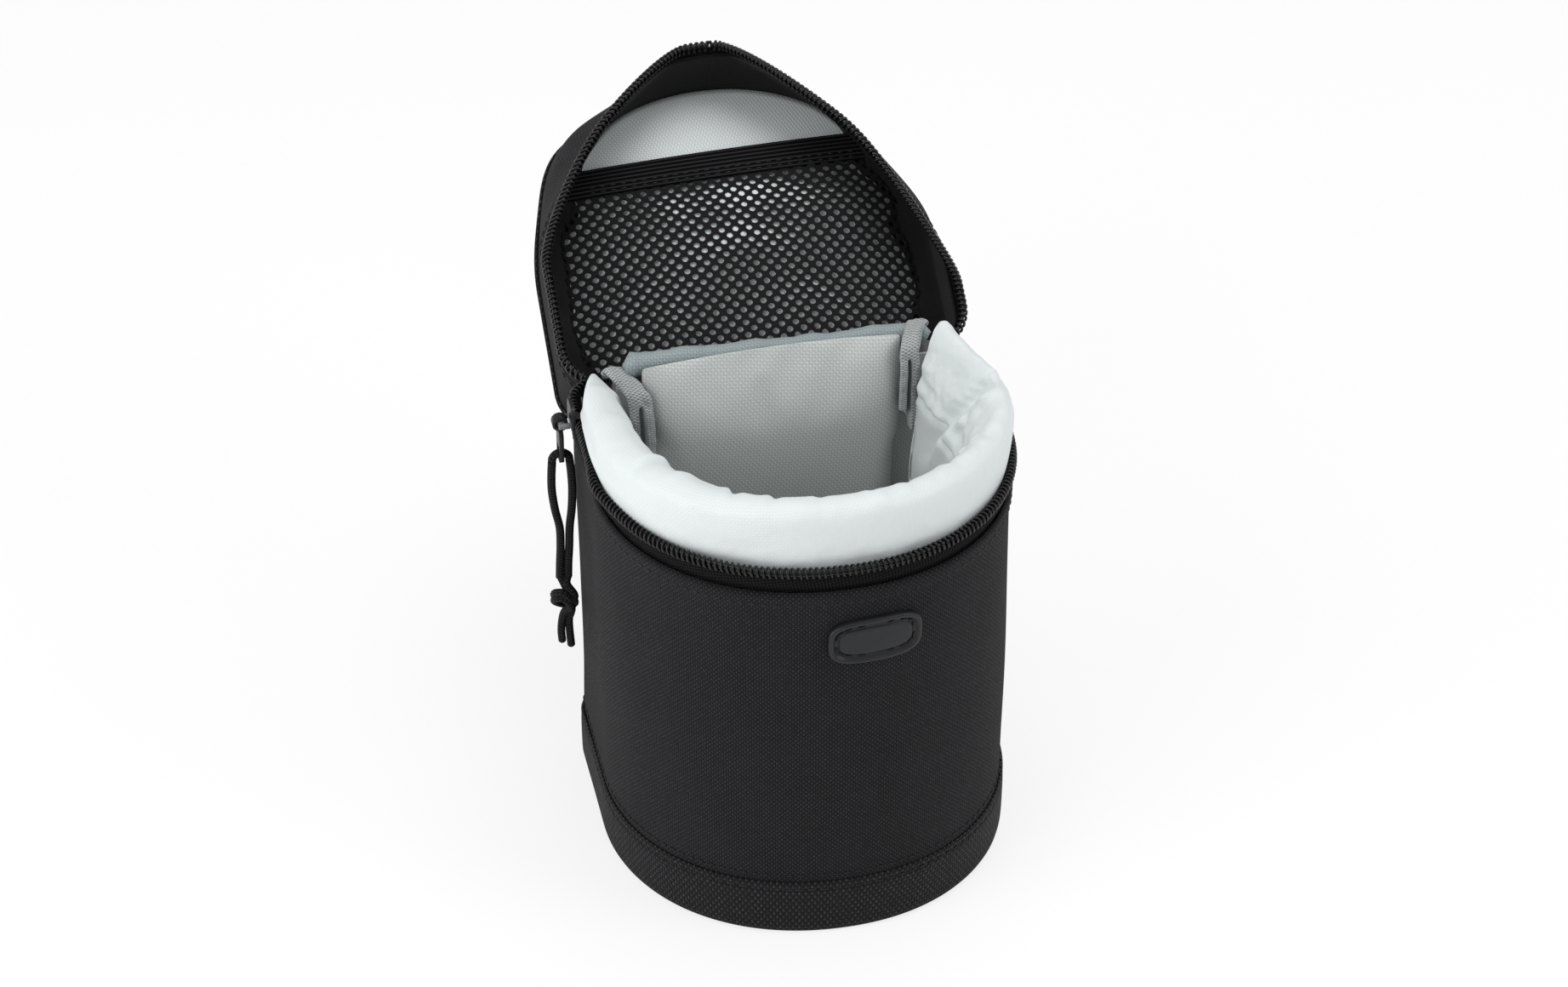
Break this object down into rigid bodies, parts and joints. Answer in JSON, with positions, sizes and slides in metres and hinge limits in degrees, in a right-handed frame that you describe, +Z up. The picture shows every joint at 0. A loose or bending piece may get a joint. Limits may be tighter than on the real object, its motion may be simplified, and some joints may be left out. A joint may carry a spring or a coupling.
{
  "type": "lens pouch",
  "caption": "Padded lens pouch with a rounded front, zipped hinged lid with a mesh pocket, standing padded collar, pull cord and belt loop",
  "frame": {"origin": "on the base, under the widest line of the outline and on the centre of the width", "axes": "+X is the width to the viewer's right, -Y is the rounded front, +Z is up"},
  "size_m": [0.1381, 0.2278, 0.1936],
  "materials": {
    "shell_cloth": "charcoal woven polyester with a fine dotted weave",
    "band_cloth": "black coarse ballistic weave",
    "brushed_cloth": "black brushed lining",
    "zip_tape": "charcoal woven tape",
    "zip_coil": "black nylon coil with a soft gloss",
    "lining_satin": "very pale grey satin twill",
    "lining_twill": "pale grey diagonal twill",
    "hem_twill": "blue grey twill",
    "grosgrain": "grey ribbed tape",
    "net": "black knitted net with round holes",
    "elastic": "black ribbed elastic",
    "foam": "grey closed foam",
    "board": "grey stiffening board",
    "badge_rubber": "black moulded rubber, bare",
    "slider_metal": "dark painted zinc",
    "cord": "black braided cord"
  },
  "bodies": {
    "pouch": {"base_band": "band_cloth", "base_panel": "shell_cloth", "base_board": "board", "base_foam": "foam", "base_lining": "lining_twill", "front_shell": "shell_cloth", "wall_foam": "foam", "compartment_lining": "lining_twill", "padded_collar": "lining_satin", "back_panel": "shell_cloth", "back_board": "board", "back_foam": "foam", "back_lining": "lining_twill", "back_hem": "hem_twill", "back_pad": "lining_twill", "seam_binding_left": "grosgrain", "seam_binding_right": "grosgrain", "lower_zip_tape": "zip_tape", "lower_zip_coil": "zip_coil", "badge": "badge_rubber", "hinge_fold": "shell_cloth", "strap_anchor": "band_cloth", "loop_patch": "elastic"},
    "slider": {"zip_slider": "slider_metal", "slider_bridge": "slider_metal"},
    "pull": {"pull_tab": "slider_metal", "pull_cord_turn": "cord", "pull_cord_outer": "cord", "pull_cord_inner": "cord", "cord_knot": "cord"},
    "strap": {"belt_strap": "band_cloth", "hook_patch": "elastic"},
    "lid": {"lid_top_panel": "shell_cloth", "lid_foam": "foam", "lid_lining": "lining_twill", "lid_rear_wall": "shell_cloth", "lid_rear_lining": "brushed_cloth", "mesh_pocket": "net", "pocket_elastic": "elastic"},
    "lid_wall_left": {"lid_side_wall_left": "shell_cloth", "lid_side_lining_left": "brushed_cloth", "upper_zip_tape_left": "zip_tape", "upper_zip_coil_left": "zip_coil"},
    "lid_wall_right": {"lid_side_wall_right": "shell_cloth", "lid_side_lining_right": "brushed_cloth", "upper_zip_tape_right": "zip_tape", "upper_zip_coil_right": "zip_coil"}
  },
  "joints": [
    {"name": "lid_hinge", "type": "hinge", "parent": "pouch", "child": "lid", "pos_m": [0, 0.0474, 0.1384], "axis": [1, 0, 0], "range_deg": [0, 150]},
    {"name": "left_wall_lean", "type": "slide", "parent": "lid", "child": "lid_wall_left", "axis": [-0.8415, 0.4679, 0.2701], "range_m": [0, 0.01]},
    {"name": "right_wall_lean", "type": "slide", "parent": "lid", "child": "lid_wall_right", "axis": [0.8415, 0.4679, 0.2701], "range_m": [0, 0.015]},
    {"name": "zip_run", "type": "slide", "parent": "pouch", "child": "slider", "axis": [0, -1, 0], "range_m": [-0.004, 0.026]},
    {"name": "pull_swing", "type": "hinge", "parent": "slider", "child": "pull", "pos_m": [-0.0688, 0.028, 0.1362], "axis": [0, 1, 0], "range_deg": [0, 120]},
    {"name": "strap_flap", "type": "hinge", "parent": "pouch", "child": "strap", "pos_m": [0, 0.0503, 0.09215], "axis": [1, 0, 0], "range_deg": [0, 90]}
  ],
  "couplings": [
    {"joint": "left_wall_lean", "follows": "lid_hinge", "m_per_rad": 0.0038197},
    {"joint": "right_wall_lean", "follows": "lid_hinge", "m_per_rad": 0.0057295}
  ]
}
